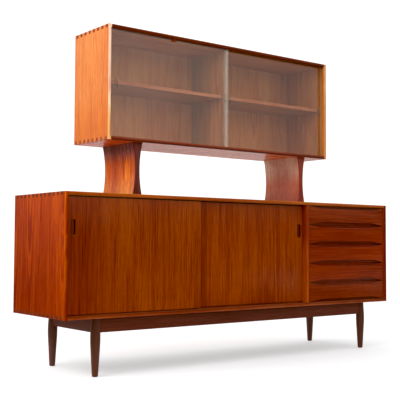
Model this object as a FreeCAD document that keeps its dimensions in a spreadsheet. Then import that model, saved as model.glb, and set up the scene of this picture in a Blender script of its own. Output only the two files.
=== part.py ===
import FreeCAD, Part
import math
import os
import Sketcher

V = FreeCAD.Vector

# ----------------------------------------------------------------------------
# Sideboard with sliding doors and five drawers on a turned-leg frame, carrying
# a glass-fronted top cabinet on two hourglass risers. Millimetres, +Z up.
# Sizes are given from the lower cabinet's left side (x), front plane (y) and
# the floor (z); the origin is on the floor under the middle of the plan.
# ----------------------------------------------------------------------------

doc = FreeCAD.newDocument("cabinet")
sheet = doc.addObject("Spreadsheet::Sheet", "Dims")

SIZES = [
    # lower cabinet
    ("base_width", 2000), ("base_depth", 475), ("base_low", 246), ("base_high", 774),
    ("panel", 16), ("bevel", 4), ("arris", 1.5),
    ("pin_pitch", 38), ("pin_width", 19), ("pin_count", 12),
    ("part_left", 1380), ("div_left", 690), ("div_front", 50),
    ("back_front", 464), ("back_thick", 6),
    # sliding doors
    ("door_thick", 16), ("door_front", 8), ("door_rear", 26), ("door_width", 688),
    ("front_door_left", 17), ("rear_door_left", 691),
    ("tongue", 6), ("groove_play", 0.4), ("low_groove", 8), ("high_groove", 12),
    ("tongue_low", 256), ("tongue_high", 766), ("face_high", 755),
    ("front_face_low", 267), ("rear_face_low", 270), ("glide_thick", 1.5),
    ("pull_wide", 25), ("pull_tall", 74), ("pull_height", 627), ("pull_deep", 10),
    ("pull_lip", 0.8), ("pull_slot_wide", 17), ("pull_slot_tall", 64), ("pull_slot_deep", 8.5),
    ("front_pull_x", 42.5), ("rear_pull_x", 1351.5),
    # drawers
    ("drawer_pitch", 99.2), ("drawer_play", 1.5), ("drawer_gap", 0.8),
    ("drawer_front_y", 8), ("drawer_face", 14), ("drawer_backing", 8),
    ("hex_tip", 9), ("hex_corner", 93.5), ("hex_cut", 13.7), ("hex_under", 4),
    ("drawer_side", 14), ("drawer_long", 400), ("drawer_rise", 5), ("drawer_side_tall", 84),
    ("drawer_back_thick", 12), ("bottom_thick", 4), ("bottom_rise", 10), ("bottom_let", 4),
    ("runner_wide", 8), ("runner_tall", 12), ("runner_play", 0.8), ("runner_front", 36), ("runner_long", 424),
    # shelves and pins
    ("base_shelf_low", 500), ("base_shelf_front", 62), ("base_shelf_deep", 398),
    ("shelf_play", 0.5), ("pin_dia", 5), ("pin_long", 16), ("pin_in", 7),
    # legs and aprons
    ("leg_x", 171.5), ("leg_front_y", 41.5), ("leg_back_y", 423),
    ("leg_dia_top", 37), ("leg_dia_neck", 38), ("leg_dia_wide", 43.5), ("leg_dia_knee", 42.5),
    ("leg_dia_mid", 37.3), ("leg_dia_low", 32), ("leg_dia_foot", 25.5),
    ("leg_z_low", 46), ("leg_z_mid", 92), ("leg_z_knee", 137), ("leg_z_wide", 175), ("leg_z_neck", 226),
    ("foot_round", 2.2),
    ("apron_low", 184), ("apron_thick", 20), ("apron_in", 12),
    ("block_near", 14.5), ("block_far", 54.5), ("block_low", 206),
    ("screw_dia", 4.5), ("screw_head", 9), ("screw_head_tall", 4), ("screw_long", 50),
    # risers
    ("riser_x", 472.5), ("riser_front", 187), ("riser_deep", 270), ("riser_end", 27), ("riser_waist", 12),
    ("riser_round", 2), ("dowel_dia", 10), ("dowel_long", 32), ("dowel_in_panel", 12), ("dowel_inset", 60),
    # top cabinet
    ("hutch_left", 299), ("hutch_width", 1402), ("hutch_front", 167), ("hutch_depth", 308),
    ("hutch_low", 1026), ("hutch_high", 1552),
    ("hpin_pitch", 38.5), ("hpin_width", 19.25), ("hpin_count", 8),
    ("hdiv_front", 213), ("hshelf_low", 1291), ("hshelf_front", 213), ("hshelf_deep", 249),
    ("track_front", 174.5), ("track_wide", 25), ("low_track_proud", 2), ("low_track_let", 5),
    ("high_track_proud", 0), ("high_track_let", 11),
    ("glass_thick", 4), ("glass_play", 0.5), ("front_glass_y", 178.5), ("rear_glass_y", 191.5),
    ("front_glass_left", 316), ("front_glass_wide", 692), ("rear_glass_left", 992), ("rear_glass_wide", 692),
    ("glass_low", 1040), ("glass_high", 1540.5),
    ("oval_wide", 24), ("oval_tall", 53), ("oval_height", 1288), ("oval_deep", 1.6), ("oval_left", 29), ("oval_right", 19),
    ("keeper_x", 658), ("keeper_long", 20), ("keeper_y", 171), ("keeper_deep", 6), ("keeper_tall", 11.5),
]


class Size:
    """A number and the sheet expression that gives it."""

    def __init__(self, value, text):
        self.value = float(value)
        self.text = text

    def _join(self, other, sign, value):
        other = size(other)
        return Size(value(self.value, other.value), "(%s %s %s)" % (self.text, sign, other.text))

    def __add__(self, other):
        return self._join(other, "+", lambda a, b: a + b)

    def __radd__(self, other):
        return size(other) + self

    def __sub__(self, other):
        return self._join(other, "-", lambda a, b: a - b)

    def __rsub__(self, other):
        return size(other) - self

    def __mul__(self, other):
        return self._join(other, "*", lambda a, b: a * b)

    def __rmul__(self, other):
        return size(other) * self

    def __truediv__(self, other):
        return self._join(other, "/", lambda a, b: a / b)


def size(value):
    if isinstance(value, Size):
        return value
    return Size(value, repr(float(value)))


class Sheet:
    pass


D = Sheet()
for row, (alias, number) in enumerate(SIZES, start=1):
    sheet.set("A%d" % row, alias)
    sheet.set("B%d" % row, str(number))
    sheet.setAlias("B%d" % row, alias)
    setattr(D, alias, Size(number, "Dims." + alias))
doc.recompute()

OUT = []          # the sub-parts that are written
ZERO = size(0)


def bind(obj, prop, value):
    obj.setExpression(prop, size(value).text)


def place(obj, x, y, z):
    """Puts obj's local origin at x, y, z, counted from left side, front plane and floor."""
    x = size(x) - D.base_width / 2
    y = size(y) - D.base_depth / 2
    z = size(z)
    obj.Placement = FreeCAD.Placement(V(x.value, y.value, z.value), obj.Placement.Rotation)
    bind(obj, "Placement.Base.x", x)
    bind(obj, "Placement.Base.y", y)
    bind(obj, "Placement.Base.z", z)


def keep(obj, label=None):
    if label:
        obj.Label = label
    OUT.append(obj)
    return obj


# ---- plain solids -----------------------------------------------------------

def box(name, x, y, z, length, width, height):
    o = doc.addObject("Part::Box", name)
    o.Label = name
    bind(o, "Length", length)
    bind(o, "Width", width)
    bind(o, "Height", height)
    place(o, x, y, z)
    return o


def cylinder(name, x, y, z, dia, length, axis="z"):
    o = doc.addObject("Part::Cylinder", name)
    o.Label = name
    bind(o, "Radius", size(dia) / 2)
    bind(o, "Height", length)
    if axis == "x":
        o.Placement = FreeCAD.Placement(V(), FreeCAD.Rotation(V(0, 1, 0), 90))
    place(o, x, y, z)
    return o


def group(name, items):
    o = doc.addObject("Part::Compound", name)
    o.Label = name
    o.Links = items
    return o


def cut(name, base, tools):
    tool = tools[0] if len(tools) == 1 else group(name + "_cutters", tools)
    o = doc.addObject("Part::Cut", name)
    o.Base = base
    o.Tool = tool
    o.Label = name
    return o


# ---- sketched solids --------------------------------------------------------

def new_body(name):
    b = doc.addObject("PartDesign::Body", name)
    b.Label = name
    return b


def role(b, name):
    return [o for o in b.Origin.OriginFeatures if o.Role == name][0]


def sketch(b, name, plane, lift=None):
    s = b.newObject("Sketcher::SketchObject", name)
    s.AttachmentSupport = [(role(b, plane), "")]
    s.MapMode = "FlatFace"
    if lift is not None:
        lift = size(lift)
        s.AttachmentOffset = FreeCAD.Placement(V(0, 0, lift.value), FreeCAD.Rotation())
        bind(s, "AttachmentOffset.Base.z", lift)
    return s


def pin(s, geo, pos, x, y):
    """Fixes a sketch point at x, y from the sketch's origin; None leaves that way free."""
    for kind, axis, value in (("DistanceX", -2, x), ("DistanceY", -1, y)):
        if value is None:
            continue
        value = size(value)
        if value.value == 0 and value.text == "0.0":
            s.addConstraint(Sketcher.Constraint("PointOnObject", geo, pos, axis))
        else:
            i = s.addConstraint(Sketcher.Constraint(kind, -1, 1, geo, pos, value.value))
            s.setExpression("Constraints[%d]" % i, value.text)


def polygon(s, points):
    """A closed outline; every corner is bound to the sheet."""
    first = s.GeometryCount
    n = len(points)
    pts = [V(size(x).value, size(y).value, 0) for x, y in points]
    for i in range(n):
        s.addGeometry(Part.LineSegment(pts[i], pts[(i + 1) % n]), False)
    for i in range(n):
        s.addConstraint(Sketcher.Constraint("Coincident", first + i, 2, first + (i + 1) % n, 1))
    for i, (x, y) in enumerate(points):
        pin(s, first + i, 1, x, y)
    return s


def rect(s, x, y, wide, tall):
    x, y, wide, tall = size(x), size(y), size(wide), size(tall)
    x2, y2 = x + wide, y + tall
    return polygon(s, [(x, y), (x2, y), (x2, y2), (x, y2)])


def stadium(s, cx, cy, wide, tall):
    """An upright slot with round ends, centred on cx, cy."""
    cx, cy, wide, tall = size(cx), size(cy), size(wide), size(tall)
    r = wide / 2
    up, down = cy + tall / 2 - r, cy - tall / 2 + r
    g = s.GeometryCount
    s.addGeometry(Part.ArcOfCircle(Part.Circle(V(cx.value, up.value, 0), V(0, 0, 1), r.value), 0, math.pi), False)
    s.addGeometry(Part.LineSegment(V((cx - r).value, up.value, 0), V((cx - r).value, down.value, 0)), False)
    s.addGeometry(Part.ArcOfCircle(Part.Circle(V(cx.value, down.value, 0), V(0, 0, 1), r.value), math.pi, 2 * math.pi), False)
    s.addGeometry(Part.LineSegment(V((cx + r).value, down.value, 0), V((cx + r).value, up.value, 0)), False)
    s.addConstraint(Sketcher.Constraint("Coincident", g, 2, g + 1, 1))
    s.addConstraint(Sketcher.Constraint("Coincident", g + 1, 2, g + 2, 1))
    s.addConstraint(Sketcher.Constraint("Coincident", g + 2, 2, g + 3, 1))
    s.addConstraint(Sketcher.Constraint("Coincident", g + 3, 2, g, 1))
    pin(s, g, 3, cx, up)
    pin(s, g + 2, 3, cx, down)
    pin(s, g + 1, 1, cx - r, up)
    pin(s, g + 1, 2, cx - r, down)
    pin(s, g + 3, 1, None, down)
    pin(s, g + 3, 2, None, up)
    return s


def pad(b, s, length, back=False):
    f = b.newObject("PartDesign::Pad", s.Name + "_pad")
    f.Profile = s
    f.Reversed = back
    f.Length = size(length).value
    bind(f, "Length", length)
    s.Visibility = False
    b.Tip = f
    return f


CUTS = []         # each pocket with the volume before it, compared at the end


def pocket(b, s, length=None, back=False):
    before = b.Tip
    f = b.newObject("PartDesign::Pocket", s.Name + "_cut")
    f.Profile = s
    f.Reversed = back
    if length is None:
        f.Type = "ThroughAll"
    else:
        f.Length = size(length).value
        bind(f, "Length", length)
    b.Tip = f
    CUTS.append((f, before))
    return f


def row_of(b, feature, axis, length, count, name):
    """Repeats a cut along an axis of the piece's own frame."""
    f = b.newObject("PartDesign::LinearPattern", name)
    f.Originals = [feature]
    f.Direction = (role(b, axis), [""])
    f.Length = size(length).value
    f.Occurrences = int(size(count).value)
    bind(f, "Length", length)
    bind(f, "Occurrences", count)
    b.Tip = f
    CUTS.append((f, feature))
    return f


def edges(feature, test):
    """Names of the straight or curved edges whose ends both pass the test."""
    names = []
    for i, e in enumerate(feature.Shape.Edges, start=1):
        if all(test(v.Point) for v in e.Vertexes) and len(e.Vertexes) > 1:
            names.append("Edge%d" % i)
    return names


def dress(b, kind, value, test, name):
    """A fillet or chamfer on the edges of the piece that pass the test (local frame)."""
    doc.recompute()
    base = b.Tip
    names = edges(base, test)
    if not names:
        raise RuntimeError("no edge found for " + name)
    f = b.newObject("PartDesign::" + kind, name)
    f.Base = (base, names)
    prop = "Radius" if kind == "Fillet" else "Size"
    setattr(f, prop, size(value).value)
    bind(f, prop, value)
    b.Tip = f
    doc.recompute()
    return f


def near(a, b, tol=0.02):
    return abs(a - float(size(b).value)) < tol


# ----------------------------------------------------------------------------
# Shelf pins: brass, 5 mm, seven millimetres into the panel
# ----------------------------------------------------------------------------

def pins_at(tag, x_face, direction, low, front, deep):
    out = []
    for j, y in enumerate((front + 40, front + deep - 40)):
        start = x_face - D.pin_in if direction > 0 else x_face - (D.pin_long - D.pin_in)
        out.append(cylinder("%s_%d" % (tag, j), start, y, low - D.pin_dia / 2, D.pin_dia, D.pin_long, "x"))
    return out


div_right = D.div_left + D.panel
bs = (D.base_shelf_low, D.base_shelf_front, D.base_shelf_deep)
pins_bl = pins_at("pin_base_side", D.panel, 1, *bs)
pins_bd1 = pins_at("pin_divider_a", D.div_left, -1, *bs)
pins_bd2 = pins_at("pin_divider_b", div_right, 1, *bs)
pins_bp = pins_at("pin_partition", D.part_left, -1, *bs)
hutch_right = D.hutch_left + D.hutch_width
hutch_in_left = D.hutch_left + D.panel
hutch_in_right = hutch_right - D.panel
hdiv_left = D.hutch_left + D.hutch_width / 2 - D.panel / 2
hdiv_right = hdiv_left + D.panel
hs = (D.hshelf_low, D.hshelf_front, D.hshelf_deep)
pins_hl = pins_at("pin_hutch_left", hutch_in_left, 1, *hs)
pins_hd1 = pins_at("pin_hutch_divider_a", hdiv_left, -1, *hs)
pins_hd2 = pins_at("pin_hutch_divider_b", hdiv_right, 1, *hs)
pins_hr = pins_at("pin_hutch_right", hutch_in_right, -1, *hs)
keep(group("shelf_pins", pins_bl + pins_bd1 + pins_bd2 + pins_bp + pins_hl + pins_hd1 + pins_hd2 + pins_hr))

# ----------------------------------------------------------------------------
# Legs: turned, swelling to the knee and tapering to a rounded foot
# ----------------------------------------------------------------------------

leg_right_x = D.base_width - D.leg_x
LEGS = [("leg_front_left", D.leg_x, D.leg_front_y), ("leg_front_right", leg_right_x, D.leg_front_y),
        ("leg_back_left", D.leg_x, D.leg_back_y), ("leg_back_right", leg_right_x, D.leg_back_y)]
leg_objects = {}
for name, lx, ly in LEGS:
    b = new_body(name)
    rings = [(D.foot_round, D.leg_dia_foot), (D.leg_z_low, D.leg_dia_low), (D.leg_z_mid, D.leg_dia_mid),
             (D.leg_z_knee, D.leg_dia_knee), (D.leg_z_wide, D.leg_dia_wide), (D.leg_z_neck, D.leg_dia_neck),
             (D.base_low, D.leg_dia_top)]
    made = []
    for k, (z, dia) in enumerate(rings):
        s = sketch(b, "%s_ring%d" % (name, k), "XY_Plane", z)
        s.addGeometry(Part.Circle(V(0, 0, 0), V(0, 0, 1), dia.value / 2), False)
        s.addConstraint(Sketcher.Constraint("Coincident", 0, 3, -1, 1))
        i = s.addConstraint(Sketcher.Constraint("Radius", 0, dia.value / 2))
        s.setExpression("Constraints[%d]" % i, (dia / 2).text)
        made.append(s)
    f = b.newObject("PartDesign::AdditiveLoft", name + "_turning")
    f.Profile = made[0]
    f.Sections = made[1:]
    f.Ruled = False
    b.Tip = f
    # the foot's eased edge
    s = sketch(b, name + "_sole", "XY_Plane")
    s.addGeometry(Part.Circle(V(0, 0, 0), V(0, 0, 1), (D.leg_dia_foot / 2 - D.foot_round).value), False)
    s.addConstraint(Sketcher.Constraint("Coincident", 0, 3, -1, 1))
    sole = D.leg_dia_foot / 2 - D.foot_round
    i = s.addConstraint(Sketcher.Constraint("Radius", 0, sole.value))
    s.setExpression("Constraints[%d]" % i, sole.text)
    g = b.newObject("PartDesign::AdditiveLoft", name + "_foot")
    g.Profile = s
    g.Sections = [made[0]]
    g.Ruled = True
    b.Tip = g
    place(b, lx, ly, 0)
    leg_objects[name] = keep(b)

# ----------------------------------------------------------------------------
# Aprons between the legs, their ends coped to the round legs
# ----------------------------------------------------------------------------

apron_tall = D.base_low - D.apron_low
half = D.apron_thick / 2
inner_w = leg_right_x - D.leg_x - 2 * D.apron_in
inner_d = D.leg_back_y - D.leg_front_y - 2 * D.apron_in
keep(cut("apron_front", box("apron_front_board", D.leg_x + D.apron_in, D.leg_front_y - half, D.apron_low,
                            inner_w, D.apron_thick, apron_tall),
         [leg_objects["leg_front_left"], leg_objects["leg_front_right"]]))
keep(cut("apron_back", box("apron_back_board", D.leg_x + D.apron_in, D.leg_back_y - half, D.apron_low,
                           inner_w, D.apron_thick, apron_tall),
         [leg_objects["leg_back_left"], leg_objects["leg_back_right"]]))
keep(cut("apron_left", box("apron_left_board", D.leg_x - half, D.leg_front_y + D.apron_in, D.apron_low,
                           D.apron_thick, inner_d, apron_tall),
         [leg_objects["leg_front_left"], leg_objects["leg_back_left"]]))
keep(cut("apron_right", box("apron_right_board", leg_right_x - half, D.leg_front_y + D.apron_in, D.apron_low,
                            D.apron_thick, inner_d, apron_tall),
         [leg_objects["leg_front_right"], leg_objects["leg_back_right"]]))

# Corner blocks across the inner corners, one countersunk screw up through each
blocks, screws = [], []
for name, lx, ly in LEGS:
    sx = 1 if "left" in name else -1
    sy = 1 if "front" in name else -1
    b = new_body("corner_block" + name[3:])
    n, f_, h_ = D.block_near, D.block_far, half
    far = [(n, ZERO), (f_, ZERO), (ZERO, f_), (ZERO, n)]
    pts = [((x if sx > 0 else ZERO - x) if x.text != "0.0" else ZERO,
            (y if sy > 0 else ZERO - y) if y.text != "0.0" else ZERO) for x, y in far]
    if sx * sy < 0:
        pts = pts[::-1]
    s = polygon(sketch(b, b.Name + "_plan", "XY_Plane"), pts)
    pad(b, s, D.base_low - D.block_low)
    place(b, lx + half * sx, ly + half * sy, D.block_low)
    blocks.append(b)
    # the screw, in the middle of the block
    off = (D.block_near + D.block_far) / 4
    px, py = lx + half * sx + off * sx, ly + half * sy + off * sy
    shank = cylinder("screw_shank" + name[3:], px, py, D.block_low, D.screw_dia, D.screw_long)
    head = doc.addObject("Part::Cone", "screw_head" + name[3:])
    bind(head, "Radius1", D.screw_head / 2)
    bind(head, "Radius2", D.screw_dia / 2)
    bind(head, "Height", D.screw_head_tall)
    place(head, px, py, D.block_low)
    sc = doc.addObject("Part::Fuse", "screw" + name[3:])
    sc.Base, sc.Tool = shank, head
    screws.append(sc)
frame_screws = keep(group("frame_screws", screws))
keep(cut("corner_blocks", group("corner_blocks_solid", blocks), screws))

# ----------------------------------------------------------------------------
# Risers: two boards with an hourglass section, dowelled at both ends
# ----------------------------------------------------------------------------

riser_tall = D.hutch_low - D.base_high
sag = D.riser_end - D.riser_waist
riser_right_x = D.base_width - D.riser_x
dowels_low, dowels_high, riser_bodies, riser_dowels = [], [], {}, {}
for name, rx in (("riser_left", D.riser_x), ("riser_right", riser_right_x)):
    mine = []
    for j, dy in enumerate((D.dowel_inset, D.riser_deep - D.dowel_inset)):
        a = cylinder("%s_dowel_low%d" % (name, j), rx, D.riser_front + dy, D.base_high - D.dowel_in_panel,
                     D.dowel_dia, D.dowel_long)
        c = cylinder("%s_dowel_high%d" % (name, j), rx, D.riser_front + dy,
                     D.hutch_low + D.dowel_in_panel - D.dowel_long, D.dowel_dia, D.dowel_long)
        dowels_low.append(a)
        dowels_high.append(c)
        mine += [a, c]
    riser_dowels[name] = mine
    b = new_body(name + "_board")
    s = sketch(b, name + "_profile", "XZ_Plane")
    e_, t_ = D.riser_end, riser_tall
    ev, tv, sv = e_.value, t_.value, sag.value
    s.addGeometry(Part.LineSegment(V(-ev, 0, 0), V(ev, 0, 0)), False)
    radius = (t_ * t_ / 4 + sag * sag) / (sag * 2)
    rv = radius.value
    turn = math.asin(tv / 2 / rv)
    s.addGeometry(Part.ArcOfCircle(Part.Circle(V(ev - sv + rv, tv / 2, 0), V(0, 0, 1), rv),
                                   math.pi - turn, math.pi + turn), False)
    s.addGeometry(Part.LineSegment(V(ev, tv, 0), V(-ev, tv, 0)), False)
    s.addGeometry(Part.ArcOfCircle(Part.Circle(V(-ev + sv - rv, tv / 2, 0), V(0, 0, 1), rv), -turn, turn), False)
    r_high, r_low, l_low, l_high = 1, 2, 1, 2
    s.addConstraint(Sketcher.Constraint("Coincident", 0, 2, 1, r_low))
    s.addConstraint(Sketcher.Constraint("Coincident", 1, r_high, 2, 1))
    s.addConstraint(Sketcher.Constraint("Coincident", 2, 2, 3, l_high))
    s.addConstraint(Sketcher.Constraint("Coincident", 3, l_low, 0, 1))
    pin(s, 0, 1, ZERO - e_, ZERO)
    pin(s, 0, 2, e_, ZERO)
    pin(s, 2, 1, e_, t_)
    pin(s, 2, 2, ZERO - e_, t_)
    for g in (1, 3):
        i = s.addConstraint(Sketcher.Constraint("Radius", g, radius.value))
        s.setExpression("Constraints[%d]" % i, radius.text)
    pad(b, s, D.riser_deep, back=True)
    doc.recompute()
    long_edges = ["Edge%d" % i for i, e in enumerate(b.Tip.Shape.Edges, start=1)
                  if e.BoundBox.YLength < 0.01 and e.BoundBox.ZLength > riser_tall.value - 1]
    board = b.Tip
    f = b.newObject("PartDesign::Fillet", name + "_rounding")
    f.Base = (board, long_edges)
    f.Radius = D.riser_round.value
    bind(f, "Radius", D.riser_round)
    b.Tip = f
    place(b, rx, D.riser_front, D.base_high)
    riser_bodies[name] = b
    keep(cut(name, b, mine))
keep(group("riser_dowels", dowels_low + dowels_high))

# ----------------------------------------------------------------------------
# Lower cabinet panels, finger-jointed
# ----------------------------------------------------------------------------

tall = D.base_high - D.base_low
inner_low = D.base_low + D.panel
inner_high = D.base_high - D.panel
inner_tall = inner_high - inner_low
inner_right = D.base_width - D.panel


def flat_panel(name, x, y, z, width, depth, pitch, pin_w, count, first, top):
    """A top or bottom board. Its fingers stand between sockets for the side's fingers;
    `first` is the first socket's start; top says which arris is bevelled."""
    b = new_body(name)
    s = rect(sketch(b, name + "_plan", "XY_Plane"), 0, 0, width, depth)
    pad(b, s, D.panel)
    span = pitch * count
    sock = pitch - pin_w
    for tag, x0 in (("left", size(0)), ("right", size(width) - D.panel)):
        s = rect(sketch(b, "%s_socket_%s" % (name, tag), "XY_Plane"), x0, first, D.panel, sock)
        p = pocket(b, s, back=True)
        row_of(b, p, "Y_Axis", span, count + 1, "%s_sockets_%s" % (name, tag))
    z_in = 0 if top else D.panel.value
    z_out = D.panel.value if top else 0
    dress(b, "Chamfer", D.bevel, lambda p: near(p.y, 0) and near(p.z, z_in), name + "_bevel")
    dress(b, "Fillet", D.arris, lambda p: near(p.y, 0) and near(p.z, z_out), name + "_arris")
    place(b, x, y, z)
    return b


def upright_panel(name, x, y, z, depth, height, pitch, pin_w, count, first, left):
    """A side board. Sockets at both ends take the top's and bottom's fingers."""
    b = new_body(name)
    s = rect(sketch(b, name + "_side", "YZ_Plane"), 0, 0, depth, height)
    pad(b, s, D.panel)
    span = pitch * (count - 1)
    for tag, z0 in (("low", size(0)), ("high", size(height) - D.panel)):
        s = rect(sketch(b, "%s_socket_%s" % (name, tag), "YZ_Plane"), first, z0, pin_w, D.panel)
        p = pocket(b, s, back=True)
        row_of(b, p, "Y_Axis", span, count, "%s_sockets_%s" % (name, tag))
    # the inner front arris is bevelled between the end joints
    x_in = D.panel if left else size(0)
    x_off = D.panel - D.bevel if left else D.bevel
    s = polygon(sketch(b, name + "_bevel_plan", "XY_Plane", D.panel),
                [(x_in, ZERO), (x_in, D.bevel), (x_off, ZERO)] if left else
                [(ZERO, ZERO), (x_off, ZERO), (ZERO, D.bevel)])
    pocket(b, s, size(height) - 2 * D.panel, back=True)
    x_out = 0 if left else D.panel.value
    dress(b, "Fillet", D.arris, lambda p: near(p.y, 0) and near(p.x, x_out), name + "_arris")
    place(b, x, y, z)
    return b


def door_grooves(b, name, plane_lift, depth, back):
    """Two grooves along the door opening for the doors' tongues."""
    for tag, face in (("front", D.door_front), ("rear", D.door_rear)):
        y0 = face + D.door_thick - D.tongue - D.groove_play
        s = rect(sketch(b, "%s_groove_%s" % (name, tag), "XY_Plane", plane_lift), D.panel, y0,
                 D.part_left - D.panel, D.tongue + 2 * D.groove_play)
        pocket(b, s, depth, back=back)


first_socket = ZERO
base_top = flat_panel("base_top_board", 0, 0, inner_high, D.base_width, D.base_depth,
                      D.pin_pitch, D.pin_width, D.pin_count, first_socket, True)
door_grooves(base_top, "base_top", None, D.high_groove, True)
keep(cut("base_top", base_top, dowels_low))

base_bottom = flat_panel("base_bottom_board", 0, 0, D.base_low, D.base_width, D.base_depth,
                         D.pin_pitch, D.pin_width, D.pin_count, first_socket, False)
door_grooves(base_bottom, "base_bottom", D.panel, D.low_groove, False)
keep(cut("base_bottom", base_bottom, screws))

side_l = upright_panel("base_side_left_board", 0, 0, D.base_low, D.base_depth, tall,
                       D.pin_pitch, D.pin_width, D.pin_count, D.pin_width, True)
keep(cut("base_side_left", side_l, pins_bl))
side_r = upright_panel("base_side_right", inner_right, 0, D.base_low, D.base_depth, tall,
                       D.pin_pitch, D.pin_width, D.pin_count, D.pin_width, False)
keep(side_r)

# Partition between doors and drawers; its front edge shows
b = new_body("base_partition_board")
pad(b, rect(sketch(b, "partition_side", "YZ_Plane"), 0, 0, D.back_front, inner_tall), D.panel)
dress(b, "Fillet", D.arris, lambda p: near(p.y, 0), "partition_arris")
place(b, D.part_left, 0, inner_low)
keep(cut("base_partition", b, pins_bp))

b = box("base_divider_board", D.div_left, D.div_front, inner_low, D.panel, D.back_front - D.div_front, inner_tall)
keep(cut("base_divider", b, pins_bd1 + pins_bd2))
keep(box("base_back", D.panel, D.back_front, inner_low, D.base_width - 2 * D.panel, D.back_thick, inner_tall))

keep(box("base_shelf_left", D.panel + D.shelf_play, D.base_shelf_front, D.base_shelf_low,
         D.div_left - D.panel - 2 * D.shelf_play, D.base_shelf_deep, D.panel))
keep(box("base_shelf_right", div_right + D.shelf_play, D.base_shelf_front, D.base_shelf_low,
         D.part_left - div_right - 2 * D.shelf_play, D.base_shelf_deep, D.panel))

# ----------------------------------------------------------------------------
# Sliding doors: tongues below and above run in the grooves
# ----------------------------------------------------------------------------

glides = []
for tag, face in (("front", D.door_front), ("rear", D.door_rear)):
    glides.append(box("glide_" + tag, D.panel, face + D.door_thick - D.tongue, inner_low - D.low_groove,
                      D.part_left - D.panel, D.tongue, D.glide_thick))
keep(group("door_glide_strips", glides))

for name, left, face, face_low, pull_x in (
        ("door_left", D.front_door_left, D.door_front, D.front_face_low, D.front_pull_x),
        ("door_right", D.rear_door_left, D.door_rear, D.rear_face_low, D.rear_pull_x)):
    b = new_body(name)
    y_t = D.door_thick - D.tongue
    h_low = face_low - D.tongue_low
    h_high = D.face_high - D.tongue_low
    h_all = D.tongue_high - D.tongue_low
    s = polygon(sketch(b, name + "_section", "YZ_Plane"),
                [(y_t, ZERO), (D.door_thick, ZERO), (D.door_thick, h_all), (y_t, h_all),
                 (y_t, h_high), (ZERO, h_high), (ZERO, h_low), (y_t, h_low)])
    pad(b, s, D.door_width)
    s = stadium(sketch(b, name + "_pull_seat", "XZ_Plane"), pull_x - left, D.pull_height - D.tongue_low,
                D.pull_wide, D.pull_tall)
    pocket(b, s, D.pull_deep)
    place(b, left, face, D.tongue_low)
    keep(b)

    # inset pull: a solid wood cup with a raised rim and an upright slot
    side = name.split("_")[1]
    b = new_body("door_pull_" + side)
    s = stadium(sketch(b, "pull_%s_outline" % side, "XZ_Plane"), ZERO, ZERO, D.pull_wide, D.pull_tall)
    pad(b, s, D.pull_deep + D.pull_lip, back=True)
    s = stadium(sketch(b, "pull_%s_slot" % side, "XZ_Plane"), ZERO, ZERO, D.pull_slot_wide, D.pull_slot_tall)
    pocket(b, s, D.pull_slot_deep)
    doc.recompute()
    rim = [("Edge%d" % i) for i, e in enumerate(b.Tip.Shape.Edges, start=1)
           if all(abs(v.Point.y) < 0.01 for v in e.Vertexes) and abs(e.BoundBox.YMax) < 0.01
           and max(abs(e.BoundBox.XMin), abs(e.BoundBox.XMax)) > D.pull_slot_wide.value / 2 + 1]
    cup = b.Tip
    f = b.newObject("PartDesign::Fillet", "pull_%s_rim" % side)
    f.Base = (cup, rim)
    f.Radius = 0.7
    b.Tip = f
    place(b, pull_x, face - D.pull_lip, D.pull_height)
    keep(b)

# ----------------------------------------------------------------------------
# Five drawers
# ----------------------------------------------------------------------------

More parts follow.
